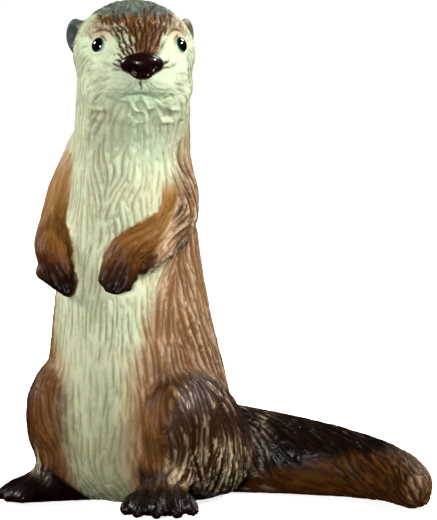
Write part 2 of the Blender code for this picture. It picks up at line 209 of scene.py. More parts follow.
EYES = {side: spot("eye_" + side, 0.5, 0.5, 0.5) for side in ("left", "right")}
BETWEEN_EYES = (EYES["left"] + EYES["right"]) / 2
UP = np.array((0.0, 0.0, 1.0))
HEAD_LEFT = unit((EYES["left"] - EYES["right"]) * (1, 1, 0))
HEAD_AHEAD = np.cross(HEAD_LEFT, UP)
NOSE = spot("nose", 0.5, 0.5, 0.5)


def on_face(ahead, aside, up):
    """A place measured from between the eyes."""
    return BETWEEN_EYES + HEAD_AHEAD * ahead + HEAD_LEFT * aside + UP * up


def headwise(points, origin=BETWEEN_EYES):
    """How far ahead, to the head's left and up the points lie from an origin."""
    gap = points - origin
    return gap @ HEAD_AHEAD, gap @ HEAD_LEFT, gap[:, 2]


blank = bmesh.new()
for node in (*FLESH, *BED):
    blank.from_mesh(welded(node, SWELL - BED.get(node, 0)))

# Pellets of clay fill out the throat, so that the ruff hangs from the lip, and then round off the
# cheeks and the right forepaw and close the crook below the left wrist.
PELLET, PELLET_DROP = 2.2, 1.3  # radius of the throat's pellets, and height from one row to the next
pellets = []
for row in range(7):
    for across in (-5, -3, -1, 1, 3, 5):
        front = 2.8 - 0.47 * row - across * across * (0.05 + 0.007 * row)
        pellets.append((on_face(front - PELLET, across, -6.5 - PELLET_DROP * row), PELLET))
for ahead, up in ((0, -2.4), (0.2, -4)):
    pellets += [(on_face(ahead, aside, up), 2.0) for aside in (4.7, -4.7)]
pellets += [((-8.3 + 0.85 * k, -11.2, 31.6 - 0.62 * k), 1.35 - 0.09 * k) for k in range(5)]
pellets += [((5.2, -9.3, 32.4), 1.2), ((6.4, -8.4, 33.2), 1.2), ((7.6, -7.4, 34.2), 1.2)]
for middle, radius in pellets:
    place = Matrix.Translation(Vector(middle))
    bmesh.ops.create_icosphere(blank, subdivisions=2, radius=radius + SWELL, matrix=place)
clay = Surface(modified(cast("blank", blank), "REMESH", mode="VOXEL", voxel_size=GRAIN))
clay.main_shell()


def nearness(points, fade, *nodes):
    """1 in the boxes of the parts, down to 0 that far outside them."""
    near = np.zeros(len(points))
    for node in nodes:
        low, high = corners(node)
        gap = np.maximum(np.maximum(low - points, points - high), 0)
        near = np.maximum(near, fall(np.linalg.norm(gap, axis=1) / fade))
    return near


# Paws and ears are smoothed least, the right foot and the throat most, each on from the one before.
FINE_ROUNDS, BROAD_ROUNDS, BLUNT_ROUNDS = 18, 50, 110
FINE_PARTS = ("forepaw_left", "forepaw_right", "hind_foot_left", "ear_left", "ear_right")
finely = nearness(clay.points, 1.5, *FINE_PARTS)[:, None]
ahead, aside, above = headwise(clay.points)
below_jaw = rise(-above, 6, 7.5) * (1 - rise(-above, 14, 18)) * rise(ahead, -7, -4)
bluntly = np.maximum(nearness(clay.points, 1.5, "hind_foot_right"), below_jaw)[:, None]
fine_shape = clay.relaxed(clay.points, FINE_ROUNDS)
broad_shape = clay.relaxed(fine_shape, BROAD_ROUNDS)
blunt_shape = clay.relaxed(broad_shape, BLUNT_ROUNDS)
clay.points = fine_shape * finely + broad_shape * (1 - finely)
clay.points += (blunt_shape - clay.points) * bluntly
clay.points -= clay.normals() * SWELL


# -------------------- the face
# The lids, the brows, the mouth and the cleft of the lip are modelled into the same casting.
# They are placed from the eyes and the nose, along the way that the head is turned.
LID_RADIUS, LID_WIDTH, LID_RISE = 1.25, 0.22, 0.2
SOCKET_RADIUS, SOCKET_WIDTH, SOCKET_DEPTH = 2.3, 0.6, 0.1
PAD_LIP_WIDTH, PAD_LIP_RISE = 0.6, 0.36  # the low rim of the casting round the nose


def tree_of(points):
    """A tree that finds the nearest of the points, each known by its number."""
    tree = KDTree(len(points))
    for index, point in enumerate(points):
        tree.insert(point, index)
    tree.balance()
    return tree


normals = clay.normals()
pad = modified(welded("nose", 0.05), "REMESH", mode="VOXEL", voxel_size=GRAIN)
pad_tree = tree_of([vertex.co for vertex in pad.vertices])
from_pad = np.array([pad_tree.find(point)[2] for point in clay.points])
clay.points += normals * (fall(from_pad / PAD_LIP_WIDTH) * PAD_LIP_RISE)[:, None]

eye_ways = {}
for side, eye in EYES.items():
    gap = clay.points - eye
    away = np.linalg.norm(gap, axis=1)
    out = unit(normals[away < SOCKET_RADIUS].mean(0))
    lift = unit(UP - out * out[2])
    eye_ways[side] = (out, lift, np.cross(lift, out))
    reach = np.linalg.norm(gap - np.outer(gap @ out, out), axis=1)
    lid = np.exp(-(((reach - LID_RADIUS) / LID_WIDTH) ** 2)) * (away < 3)
    socket = np.exp(-(((reach - SOCKET_RADIUS) / SOCKET_WIDTH) ** 2)) * (away < 4)
    clay.points += np.outer(lid * LID_RISE - socket * SOCKET_DEPTH, out)


# -------------------- the coat
# The fur is tooled into the master with a loop and a blunt point, stroke beside stroke along the lie
# of the coat: deep and wavy on the throat, long and slanted on the flanks, short on tail and head.
STEP = 0.35  # from one pressed point of a stroke to the next
CELL = 1.3  # side of the cells that strokes are looked up in
TOOL_WIDTH = 0.62  # a stroke's half width for each millimetre of room between strokes
WAVE_PITCH = Vector((0.3, 0.3, 0.36))  # waves of a stroke for each millimetre
SEEDS = 16000  # how many strokes of the coat are tried
SHALLOWEST = 0.03  # no stroke is made where the coat is no deeper than this
chance = random.Random(7)

# For each part, rows of: place in its box, way of the coat, room between strokes, depth, length, wave.
LIE = {"neck": [
    ((0.5, 0, 0.5), (0, 0, -1), 1.0, 0.34, 9, 0.45),
    ((1, 0.45, 0.5), (0, 0.1, -1), 0.8, 0.2, 5, 0.2),
    ((0, 0.45, 0.5), (0, 0.1, -1), 0.85, 0.22, 6, 0.3),
    ((0.5, 1, 0.5), (0, 0.1, -1), 0.9, 0.28, 6, 0.2),
], "trunk": [
    ((0.5, 0.15, 0.95), (0, 0, -1), 0.95, 0.38, 11, 0.5),
    ((0.3, 0.1, 0.82), (0, 0, -1), 0.9, 0.26, 9, 0.3),
    ((0.65, 0.1, 0.82), (0, 0, -1), 0.95, 0.36, 9, 0.45),
    ((0.4, 0.05, 0.66), (0, 0, -1), 0.8, 0.28, 7, 0.22),
    ((0.65, 0.05, 0.66), (0, 0, -1), 0.8, 0.32, 6, 0.3),
    ((0.5, 0, 0.56), (0, 0, -1), 0.75, 0.24, 8, 0.15),
    ((0.4, 0, 0.42), (0, 0, -1), 0.75, 0.1, 7, 0.12),
    ((0.7, 0.1, 0.46), (0.1, 0, -1), 0.9, 0.24, 9, 0.15),
    ((0.5, 0, 0.3), (0, 0, -1), 0.85, 0.16, 8, 0.15),
    ((0.5, 0, 0.16), (0, 0, -1), 0.9, 0.26, 9, 0.25),
    ((0.5, 0, 0.05), (0, 0, -1), 0.95, 0.3, 6, 0.4),
    ((0.92, 0.45, 0.85), (0.15, 0.3, -1), 0.7, 0.44, 12, 0.15),
    ((0.92, 0.45, 0.66), (0.08, 0.25, -1), 1.0, 0.46, 14, 0.2),
    ((0.98, 0.4, 0.5), (0.15, 0.3, -1), 1.1, 0.42, 12, 0.25),
    ((0.02, 0.45, 0.85), (0, 0.25, -1), 0.9, 0.38, 11, 0.15),
    ((0.02, 0.45, 0.55), (-0.1, 0.25, -1), 0.95, 0.4, 12, 0.2),
    ((0.5, 0.85, 0.85), (0, 0.12, -1), 1.0, 0.4, 12, 0.2),
    ((0.5, 0.95, 0.55), (0, 0.12, -1), 1.05, 0.42, 12, 0.2),
    ((0.5, 1, 0.3), (0, 0.2, -1), 1.0, 0.42, 12, 0.2),
    ((0.2, 1, 0.1), (-0.1, 0.1, -1), 1.0, 0.4, 9, 0.2),
    ((0.9, 0.75, 0.38), (0.3, 0.4, -1), 0.9, 0.44, 12, 0.15),
], "hind_leg_left": [
    ((0.8, 0.75, 0.9), (0.3, 0.5, -1), 0.6, 0.38, 9, 0.15),
    ((0.95, 0.45, 0.8), (0.35, 0.5, -1), 0.6, 0.38, 8, 0.18),
    ((1, 0.6, 0.45), (0.05, 0.45, -1), 0.6, 0.38, 8, 0.25),
    ((0.9, 0.85, 0.3), (0.1, 0.35, -1), 0.62, 0.38, 7, 0.3),
    ((0.6, 0.1, 0.8), (0.2, 0, -1), 0.8, 0.14, 7, 0.12),
    ((0.7, 0.1, 0.5), (0.1, 0.1, -1), 0.8, 0.2, 8, 0.2),
    ((0.8, 0.25, 0.2), (0.15, 0.2, -1), 0.68, 0.42, 6, 0.45),
    ((0.2, 0, 0.5), (0, 0, -1), 0.9, 0.2, 7, 0.15),
], "hind_leg_right": [
    ((0.1, 0.6, 0.85), (-0.1, 0.45, -1), 0.85, 0.42, 10, 0.15),
    ((0, 0.5, 0.5), (0.05, 0.25, -1), 0.85, 0.42, 9, 0.2),
    ((0.1, 0.15, 0.6), (0.2, 0.05, -1), 0.8, 0.34, 8, 0.2),
    ((0.5, 0.05, 0.5), (0.25, 0, -1), 0.85, 0.28, 8, 0.2),
    ((0.3, 0.2, 0.2), (0.35, 0, -1), 0.85, 0.3, 8, 0.2),
    ((0.1, 0.85, 0.2), (-0.1, 0.2, -1), 0.9, 0.4, 8, 0.2),
], "tail": [
    ((0.1, 0.8, 1), (0.7, 0.5, -0.6), 0.7, 0.3, 6, 0.1),
    ((0.15, 0.5, 0.75), (0.7, 0, -0.85), 0.65, 0.34, 5, 0.12),
    ((0.3, 0.4, 0.7), (0.75, 0, -0.7), 0.75, 0.32, 4.5, 0.15),
    ((0.5, 0.35, 0.7), (0.75, 0, -0.65), 0.8, 0.36, 4.5, 0.2),
    ((0.4, 0.35, 0.2), (0.95, 0, -0.2), 1.1, 0.04, 3, 0.1),
    ((0.6, 0.35, 0.15), (0.95, 0, -0.2), 1.1, 0.05, 3, 0.1),
    ((0.75, 0.3, 0.6), (0.75, -0.1, -0.65), 0.8, 0.4, 4.5, 0.2),
    ((0.95, 0.1, 0.5), (0.6, -0.5, -0.6), 0.85, 0.42, 3.5, 0.25),
    ((0.5, 0.7, 0.85), (0.95, 0, -0.3), 0.85, 0.32, 5, 0.15),
    ((0.5, 1, 0.5), (0.8, 0, -0.6), 0.9, 0.34, 4.5, 0.2),
    ((0.9, 0.5, 0.8), (0.75, -0.5, -0.4), 0.9, 0.36, 4, 0.2),
], "foreleg_left": [
    ((0.95, 0.6, 0.75), (0.2, 0.2, -1), 0.66, 0.44, 10, 0.15),
    ((0.6, 0.3, 0.65), (0, -0.1, -1), 0.7, 0.12, 4, 0.2),
    ((0.95, 0.4, 0.35), (-0.35, -0.6, -0.6), 0.75, 0.44, 5, 0.3),
    ((0.7, 0.2, 0.1), (-0.6, -0.5, -0.6), 0.75, 0.44, 4, 0.3),
    ((0.4, 0.1, 0.4), (-0.5, -0.8, -0.4), 0.8, 0.12, 5, 0.1),
], "foreleg_right": [
    ((0.05, 0.7, 0.8), (-0.05, -0.1, -1), 0.8, 0.1, 5, 0.1),
    ((0.5, 0.1, 0.75), (0, -0.1, -1), 0.8, 0.05, 4, 0.1),
    ((0.05, 0.4, 0.3), (0.1, -0.5, -0.8), 0.75, 0.2, 6, 0.1),
    ((0.5, 0.1, 0.3), (0.15, -0.6, -0.7), 0.75, 0.2, 6, 0.1),
], "forepaw_left": [
    ((0.5, 0, 0.8), (-0.3, -0.2, -1), 0.75, 0.12, 4, 0.1),
], "forepaw_right": [
    ((0.5, 0, 0.8), (0.3, -0.2, -1), 0.75, 0.12, 4, 0.1),
], "hind_foot_left": [
    ((0.5, 0.5, 0.7), (0.2, -1, -0.3), 0.8, 0.24, 5, 0.2),
], "hind_foot_right": [
    ((0.4, 0.4, 0.6), (-0.8, -0.5, -0.3), 0.9, 0.05, 3, 0.1),
]}

# The head's rows are measured from between the eyes: ahead, to its left (both sides alike), up.
# On the face itself the strokes fan out from the nose.
HEAD_LIE = [
    ((3.2, 0, -0.3), (-1, 0, 0.6), 0.5, 0.2, 1.3, 0.1),
    ((3, 2.9, -1.6), (-1, 0.9, 0.3), 0.5, 0.2, 1.2, 0.1),
    ((2, 0, 2), (-1, 0, 1.2), 0.75, 0.26, 3, 0.15),
    ((0.5, 0, 4), (-1, 0, 1), 0.85, 0.26, 3, 0.2),
    ((1.2, 3.4, 2.2), (-1, 0.7, 0.9), 0.65, 0.2, 2.4, 0.15),
    ((-4, 0, 6), (-1, 0, 0.1), 0.8, 0.2, 3, 0.2),
    ((-3, 6.2, 3.4), (-1, 0.3, 0.3), 0.62, 0.1, 1.8, 0.3),
    ((1, 5, -1.5), (-1, 0.9, 0.1), 0.9, 0.04, 2, 0.2),
    ((2.6, 3.6, -4.2), (-1, 0.9, -0.1), 0.8, 0.09, 2.4, 0.4),
    ((1.5, 5.5, -5), (-0.5, 0.9, -0.3), 0.8, 0.12, 2.6, 0.4),
    ((-1, 7, -3.5), (-0.8, 0.2, -0.5), 0.75, 0.16, 2.6, 0.2),
    ((-3.5, 7.5, -6), (-0.2, 0, -1), 0.8, 0.26, 4, 0.2),
    ((2, 0, -7.6), (0, 0, -1), 0.9, 0.2, 2.2, 0.5),
    ((1, 0, -10), (0, 0, -1), 0.95, 0.32, 5, 0.45),
    ((0.5, 4.5, -9), (0, 0.1, -1), 0.9, 0.28, 4, 0.5),
    ((-13, 4, 2), (-0.3, 0, -1), 0.85, 0.24, 4, 0.15),
    ((-16, 0, 0), (-0.2, 0, -1), 0.85, 0.26, 4, 0.15),
    ((-12, 8, -4), (-0.2, 0, -1), 0.85, 0.22, 4, 0.15),
]
FAN_LOW = -3.4  # height of the point that the strokes of the face fan out from


def lie_rows():
    """Every row of the two lists as a place, a way and the four measures of its strokes."""
    for node, rows in LIE.items():
        for place, way, *measures in rows:
            yield spot(node, *place), way, measures
    for (ahead, aside, up), (way_ahead, way_aside, way_up), *measures in HEAD_LIE:
        for hand in (1, -1) if aside else (1,):
            way = HEAD_AHEAD * way_ahead + HEAD_LEFT * way_aside * hand + UP * way_up
            yield on_face(ahead, aside * hand, up), way, measures


def blended_lie(points, normals):
    """At every point, the way of the coat along the surface and the measures of its strokes."""
    way, measures, total = np.zeros_like(points), 0, 0
    for place, row_way, row_measures in lie_rows():
        weight = 1 / (((points - place) ** 2).sum(1) + 2.0) ** 2
        way += np.outer(weight, unit(np.array(row_way, float)))
        measures = measures + np.outer(weight, row_measures)
        total = total + weight
    ahead, aside, above = headwise(points)
    above = above - FAN_LOW
    reach = np.hypot(aside, above) - 3 * rise(above, 3, 6)
    share = (rise(ahead, -5, -1) * (1 - rise(reach, 5.2, 7.5)))[:, None]
    spread = np.outer(aside, HEAD_LEFT) + np.outer(above, UP)
    way = unit(way) * (1 - share) + unit(spread) * share
    way -= normals * (way * normals).sum(1, keepdims=True)
    return unit(way), measures / total[:, None]


normals = clay.normals()
way, measures = blended_lie(clay.points, normals)
bare = nearness(clay.points, 0.8, "ear_left", "ear_right", "nose")
fingers = nearness(clay.points, 1, "forepaw_left", "forepaw_right") * (1 - rise(clay.points[:, 2], 30, 32))
bare = np.maximum(bare, fingers)
for eye in EYES.values():
    bare = np.maximum(bare, fall((np.linalg.norm(clay.points - eye, axis=1) - 1.9) / 0.7))
measures[:, 1] *= 1 - bare
skin_tree = tree_of(clay.points)


class Strokes:
    """Tool strokes on the surface, each kept as a row of pressed points."""

    def __init__(self):
        self.cells = {}
        self.points, self.ways, self.sizes = [], [], []

    def cell(self, place):
        """The cell that a place lies in."""
        return tuple(math.floor(c / CELL) for c in place)

    def has_room(self, place, room):
        """Whether no pressed point lies within that distance."""
        x, y, z = self.cell(place)
        px, py, pz = place
        limit = room * room
        for i in (x - 1, x, x + 1):
            for j in (y - 1, y, y + 1):
                for k in (z - 1, z, z + 1):
                    for qx, qy, qz in self.cells.get((i, j, k), ()):
                        if (px - qx) ** 2 + (py - qy) ** 2 + (pz - qz) ** 2 < limit:
                            return False
        return True

    def press(self, path, width, depth, ink, ends=0.6):
        """Presses the tool along a path, lightly at both ends."""
        last = len(path) - 1
        lock = chance.random()
        for step, place in enumerate(path):
            before, after = path[max(step - 1, 0)], path[min(step + 1, last)]
            pressure = math.sin(math.pi * (step + 0.6) / (last + 1.2)) ** ends
            self.points.append(place)
            self.ways.append(after - before)
            self.sizes.append((width * (0.35 + 0.65 * pressure), depth * pressure, ink, lock))
            self.cells.setdefault(self.cell(place), []).append(tuple(place))


strokes = Strokes()


def drawn(start, hand, room, length, wave):
    """The places that a stroke passes from a start, one way along the coat."""
    place, path = Vector(start), []
    heading = None
    for _ in range(int(length / STEP)):
        near, index, _ = skin_tree.find(place)
        along, up = Vector(way[index]), Vector(normals[index])
        sway = noise.noise(near * WAVE_PITCH) * wave
        along = (along + up.cross(along) * sway).normalized() * hand
        if heading is not None and heading.dot(along) < 0.6:
            break
        heading = along
        near = near + (place - near) - up * (place - near).dot(up)
        if path and (measures[index, 1] < SHALLOWEST or not strokes.has_room(near, room)):
            break
        path.append(near)
        place = near + along * STEP
    return path


# The marks that are cut one by one: brows, cleft of the lip, mouth, and the fan beside the nose.
def cut(places, width, depth, ink, ends=0.6):
    """One cut along places near the surface, laid on it."""
    laid = [skin_tree.find(Vector(place))[0] for place in places]
    path = [laid[0]]
    for first, second in zip(laid, laid[1:]):
        steps = max(1, int((second - first).length / (STEP / 2)))
        path += [first.lerp(second, (step + 1) / steps) for step in range(steps)]
    path = [skin_tree.find(place)[0] for place in path]
    strokes.press(path, width, depth, ink, ends)


BROW = [(-1.5, 1.7), (-0.8, 2.2), (0.2, 2.3), (1.2, 1.85), (2.0, 1.2)]  # inward and up from the eye
for side, eye in EYES.items():
    out, lift, across = eye_ways[side]
    inward = -across if side == "left" else across
    cut([eye + inward * u + lift * v for u, v in BROW], 0.3, 0.2, 0.8)

# Each row: places as aside and up from between the eyes, and then width, depth and dark wash.
FACE_AHEAD = 3  # how far ahead of the eyes the marks of the face are held before they are laid on it
FACE_CUTS = [
    ([(-0.14, -4.3), (-0.14, -5.5)], 0.26, 0.26, 1.0),
    ([(-0.7, -4.5), (-0.65, -5.2)], 0.2, 0.12, 0.7),
    ([(0.45, -4.5), (0.4, -5.2)], 0.2, 0.1, 0.5),
    ([(-3.4, -7.5), (-2, -6.6), (-0.1, -6.25), (1.45, -6.6), (2.9, -7.6)], 0.42, 0.26, 0.5),
    ([(-1.2, -5.7), (-3.2, -5.7), (-5.2, -5.95)], 0.26, 0.13, 0.45),
    ([(1.6, -5.4), (3.2, -5.8), (4.8, -6.2)], 0.26, 0.13, 0.45),
    ([(-1.5, -5.05), (-3, -4.9), (-4.4, -4.7)], 0.22, 0.09, 0.3),
    ([(-1.6, -4.4), (-2.8, -4.2), (-3.8, -4.1)], 0.22, 0.07, 0.25),
    ([(1.8, -4.9), (3, -5.1), (4.2, -5.3)], 0.22, 0.07, 0.25),
    ([(-4.2, -3.1), (-5.2, -3.35), (-6.4, -3.3)], 0.24, 0.1, 0.35),
    ([(-5.9, -8.3), (-5, -7.2), (-3.7, -7.7)], 0.36, 0.24, 0.5),
    ([(3.2, -7.3), (4.6, -6.9), (5.4, -7.8)], 0.3, 0.18, 0.5),
]
for places, width, depth, wash in FACE_CUTS:
    cut([on_face(FACE_AHEAD, aside, up) for aside, up in places], width, depth, wash, 0.4)

# Rays fan out over the forehead in four rings round the nose, and keep clear of the eyes.
# Each row: reach of the ring, length of its rays, widest turn either way, degrees from ray to ray.
RAYS = [(2.95, 1.0, 84, 10), (4.2, 1.9, 40, 9), (6.3, 1.4, 37, 7.5), (7.8, 1.9, 62, 6.5)]
EYE_CLEARANCE = 1.8
fan_foot = on_face(FACE_AHEAD, 0, FAN_LOW)
for ring, ray_length, widest, apart in RAYS:
    turn = -widest + chance.uniform(0, 3)
    while turn < widest:
        ray = HEAD_LEFT * math.sin(math.radians(turn)) + UP * math.cos(math.radians(turn))
        start = ring + chance.uniform(-0.25, 0.25)
        end = start + ray_length * chance.uniform(0.8, 1.2)
        marks = [fan_foot + ray * reach for reach in (start, (start + end) / 2, end)]
        if min(math.dist(mark[::2], eye[::2]) for mark in marks for eye in EYES.values()) > EYE_CLEARANCE:
            cut(marks, 0.3, 0.24, 1.0, 0.5)
        turn += apart * chance.uniform(0.8, 1.2)

# The fingers and toes are parted by deeper cuts. For each forepaw: its wrist and its finger tips in
# its box. For each hind foot: its heel in its box, its aim in degrees, its gaps and their depth.
FINGERS = {"left": ((0.72, 0.6, 0.8), (0.4, 0, 0)), "right": ((0.42, 0.6, 0.8), (0.72, 0.1, 0))}
TOES = {
    "left": ((0.31, 0.72, 0), 17, (-1.5, -0.5, 0.5, 1.5), 0.4),
    "right": ((0.72, 0.67, 0), -60, (-1, 0, 1), 0.2),
}
for side, (wrist, tip) in FINGERS.items():
    start, end = spot("forepaw_" + side, *wrist), spot("forepaw_" + side, *tip)
    along = unit(end - start)
    across = unit(np.cross(along, (0.0, -1.0, 0.3)))
    front = np.cross(across, along)
    front = front * (1 if front[1] < 0 else -1) * 1.6
    for gap in (-1.3, 0, 1.3):
        middle = end - along * 1.6 + across * gap
        marks = (start + along * 1.4 + across * gap * 0.75, middle, end + across * gap * 1.08)
        cut([mark + front for mark in marks], 0.5, 0.42, 1.0, 0.35)
for side, (heel, aim, gaps, deep) in TOES.items():
    heel = spot("hind_foot_" + side, *heel)
    for gap in gaps:
        turn = math.radians(aim + 15 * gap)
        ray = np.array((math.sin(turn), -math.cos(turn), 0.0))
        cut([heel + ray * 5 + UP * 4, heel + ray * 8 + UP * 3, heel + ray * 10.6 + UP], 0.55, deep, 1.0, 0.35)

# The rest is filled with the strokes of the coat, each where there is still room for it.
for _ in range(SEEDS):
    index = chance.randrange(len(clay.points))
    room, depth, length, wave = measures[index]
    room *= chance.uniform(0.8, 1.2)
    if depth < SHALLOWEST or not strokes.has_room(clay.points[index], room * 0.85):
        continue
    length *= chance.uniform(0.6, 1.3)
    onward = drawn(clay.points[index], 1, room * 0.5, length / 2, wave * 2)
    backward = drawn(clay.points[index], -1, room * 0.5, length / 2, wave * 2)
    path = backward[:0:-1] + onward
    if len(path) * STEP < 0.3 * length or len(path) < 4:
        continue
    strokes.press(path, room * TOOL_WIDTH, depth * chance.uniform(0.75, 1.2), 1.0)

stroke_points = np.array(strokes.points)
stroke_ways = unit(np.array([tuple(w) for w in strokes.ways]))
stroke_sizes = np.array(strokes.sizes)
stroke_tree = tree_of(strokes.points)
NEAREST = 6  # how many pressed points may shape a point of the surface


def pressed(points, normals):
    """At every point: depth of the tooling, its dark wash, nearness to a ridge, and its lock's number."""
    index = np.array([[i for _, i, _ in stroke_tree.find_n(p, NEAREST)] for p in points])
    depth, ink = np.zeros(len(points)), np.zeros(len(points))
    ridge, lock = np.ones(len(points)), np.full(len(points), 0.5)
    for k in range(NEAREST):
        i = index[:, k]
        gap = points - stroke_points[i]
        along = (gap * stroke_ways[i]).sum(1)
        gap -= stroke_ways[i] * along[:, None]
        gap -= normals * (gap * normals).sum(1, keepdims=True)
        past_end = np.maximum(np.abs(along) - STEP * 0.7, 0)
        width, deep, wash, number = stroke_sizes[i].T
        share = np.minimum(np.hypot(np.linalg.norm(gap, axis=1), past_end) / width, 1)
        crested = rise(deep, 0.34, 0.42)
        dip = (1 - share) ** 2 * (1 - crested) + (1 - share ** 1.4) * crested
        lock = np.where(share < ridge, number, lock)
        ridge = np.minimum(ridge, share)
        ink = np.maximum(ink, dip ** 0.75 * wash * np.minimum(deep / 0.15, 1))
        depth = np.maximum(depth, dip * deep)
    return depth, ink, ridge, lock


# Between the strokes the whole coat is raked, which leaves fine lines that wander, part and join.
RAKE_STEPS = 9
COARSE_RAKE, FINE_RAKE = 0.72, 0.4  # about how far apart the lines run
PRIMES = np.array((73856093, 19349663, 83492791))


def lattice_noise(points, seed):
    """Smooth noise from -1 to 1 with blots about one unit across."""
    cell = np.floor(points).astype(np.int64)
    part = points - cell
    part = part * part * (3 - 2 * part)
    total = np.zeros(len(points))
    for corner in range(8):
        step = np.array((corner & 1, corner >> 1 & 1, corner >> 2 & 1))
        key = ((cell + step) * PRIMES).sum(1) + seed * 7919
        key = (key ^ (key >> 13)) * 1274126177
        value = ((key ^ (key >> 16)) & 0xFFFF) / 32767.5 - 1
        total += value * np.prod(np.where(step, part, 1 - part), axis=1)
    return total


def raked(size, reach, seed):
    """Noise drawn out along the coat into lines that many millimetres apart and that long."""
    across = np.cross(normals, way)
    sway = measures[:, 3]
    total = np.zeros(len(clay.points))
    for step in np.linspace(-0.5, 0.5, RAKE_STEPS):
        at = clay.points + way * (step * reach)
        shift = lattice_noise(at / 2.2, seed + 1) * sway * 1.6
        total += lattice_noise((at + across * shift[:, None]) / size, seed)
    return total / total.std()


depth, ink, ridge, lock = pressed(clay.points, normals)
coarse, fine = raked(COARSE_RAKE, 5.0, 3), raked(FINE_RAKE, 2.6, 11)
coarse_line = np.clip(1 - np.abs(coarse) / 0.75, 0, 1) ** 1.6
fine_line = np.clip(1 - np.abs(fine) / 0.6, 0, 1) ** 1.5
raking = np.maximum(coarse_line * 0.8, fine_line * 0.4) * (1 - 0.6 * depth / (depth + 0.1))
relief = np.maximum(depth, raking * measures[:, 1])

# Under the jaw the coat stands up in a ruff of small lumps.
RUFF_PITCH = 1.5
ahead, aside, above = headwise(clay.points)
ruff = rise(-above, 6.6, 7.6) * (1 - rise(-above, 9.5, 12.5)) * rise(ahead, -1.5, 1.0)
lump = 1 - np.abs(lattice_noise(clay.points / RUFF_PITCH, 29)) * 2
relief = relief * (1 - 0.5 * ruff) - lump * ruff * 0.3
relief -= np.clip(coarse, -1.5, 1.5) * 0.1 * measures[:, 1]
ink = np.maximum(ink, raking * np.minimum(measures[:, 1] / 0.2, 1) * 0.75)
ridge = np.clip(np.minimum(ridge, 1 - raking), 0, 1)
clay.points -= normals * relief[:, None]

# The finished surface keeps fewer facets on the plain stretches than along the tool marks.
SKIN_FACES = 197000
HEAD_WEIGHT = 0.25  # how much of the thinning the head takes
worked = mesh_from("worked", clay.points, clay.faces)
on_head = rise(clay.points[:, 2], 50, 53) * rise(-clay.points[:, 1], 0, 3)
weights = np.round(1 - on_head * (1 - HEAD_WEIGHT), 1)
share_kept = SKIN_FACES / (2 * len(clay.faces))
skin = Surface(modified(worked, "DECIMATE", weights, ratio=share_kept, use_collapse_triangulate=True))
carved_tree = tree_of(clay.points)
source = np.array([carved_tree.find(point)[1] for point in skin.points])
ink, ridge, lock = ink[source], ridge[source], lock[source]


SEAM_ANGLE = 66


def unwrapped(piece, margin, shape=None):
    """Unwraps the piece, as if it had the shape if one is given, and leaves its own as it was."""
    mesh = piece.data
    own = pulled(mesh.vertices, "co", 3, np.float32).ravel()
    if shape is not None:
        mesh.vertices.foreach_set("co", shape.astype(np.float32).ravel())
    mesh.uv_layers.new(name="OFBake")
    bpy.context.view_layer.objects.active = piece
    piece.select_set(True)
    bpy.ops.object.mode_set(mode="EDIT")
    bpy.ops.mesh.select_all(action="SELECT")
    bpy.ops.uv.smart_project(angle_limit=math.radians(SEAM_ANGLE), island_margin=margin)
    bpy.ops.object.mode_set(mode="OBJECT")
    piece.select_set(False)
    mesh.vertices.foreach_set("co", own)
    mesh.update()


def added(name, mesh):
    """A new object that holds the mesh, smooth-shaded."""
    piece = placed(name, mesh)
    mesh.shade_smooth()
    return piece


body = added("painted_casting", mesh_from("painted_casting", skin.points / MM, skin.faces))
rounded = skin.relaxed(skin.points, 25)
unwrapped(body, 0.002, rounded / MM)


# -------------------- the paint
# The casting is cream. Tan and brown are sprayed over back, flanks, legs and tail, black-brown over
# feet, paws and the top of the tail, and a thin dark wash is left to settle in the tool marks.
skin_normals = skin.normals(rounded)
part_points, owners = [], []
for number, name in enumerate(FLESH):
    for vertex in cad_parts[name].data.vertices:
        part_points.append(vertex.co * MM)
        owners.append(number)
part_tree = tree_of(part_points)
owner = np.array([owners[part_tree.find(point)[1]] for point in skin.points])
parts = skin.relaxed(np.eye(len(FLESH))[owner], 10)
part = {name: parts[:, number] for number, name in enumerate(FLESH)}

x, y, z = skin.points.T
wide = np.abs(x)
around = np.degrees(np.arctan2(x + 0.3, 1.6 - 1.4 * z / 56 - y))  # 0 in front, + round to its left
turned = np.abs(around)
ahead, aside, above = headwise(skin.points)
in_head = rise(z, 50, 57)
left_arm, haunches, tail = part["foreleg_left"], part["hind_leg_left"] + part["hind_leg_right"], part["tail"]
arms = left_arm + part["foreleg_right"]
limbs = rise(arms + part["forepaw_left"] + part["forepaw_right"], 0.35, 0.75)
sleeves = skin.relaxed(limbs, 45)[:, 0]
legs = haunches + part["hind_foot_left"] + part["hind_foot_right"]
thighs = skin.relaxed(legs, 50)[:, 0]


def strewn(value, low, high, ragged):
    """A rise whose edge is ragged by that much: each lock takes the spray a little sooner or later."""
    return rise(value + (lock - 0.5) * ragged, low, high)


def most(*masks):
    """The strongest of the masks at every point."""
    return np.max(masks, axis=0)


# Tan begins nearer the middle of the belly low down, and further round on the figure's right.
tan_from = 17.5 + 1.45 * (np.clip(z, 20, 56) - 20) + 16 * rise(-around, 0, 10)
behind = rise(turned, 95, 130)
sides = strewn((turned - tan_from) / (12 + 12 * rise(z, 28, 42)), 0, 1, 0.5)
sides = sides * (1 - (1 - behind) * most(in_head, 0.5 * rise(z, 44, 50)))
low_sides = strewn(np.abs(x + 0.9), 2.7, 7.0, 0.8) * (1 - rise(z, 16, 23))
head_sides = strewn(-ahead, 6, 12, 2)
temples = fall(np.hypot((np.abs(aside) - 5.2) / 3, (above - 2.3) / 2.9)) * in_head * rise(ahead, -6, -3)
free_arms = 1 - rise(x, 2, 5) * rise(z, 41, 45)  # above the left forearm the spray follows the flank
sleeve = most(limbs, sleeves * rise(z, 38, 44)) * (1 - 0.45 * rise(z, 42, 49)) * free_arms
sand = most(sides, low_sides, sleeve, legs * rise(wide, 4, 7), tail, head_sides * in_head, temples * 0.75)

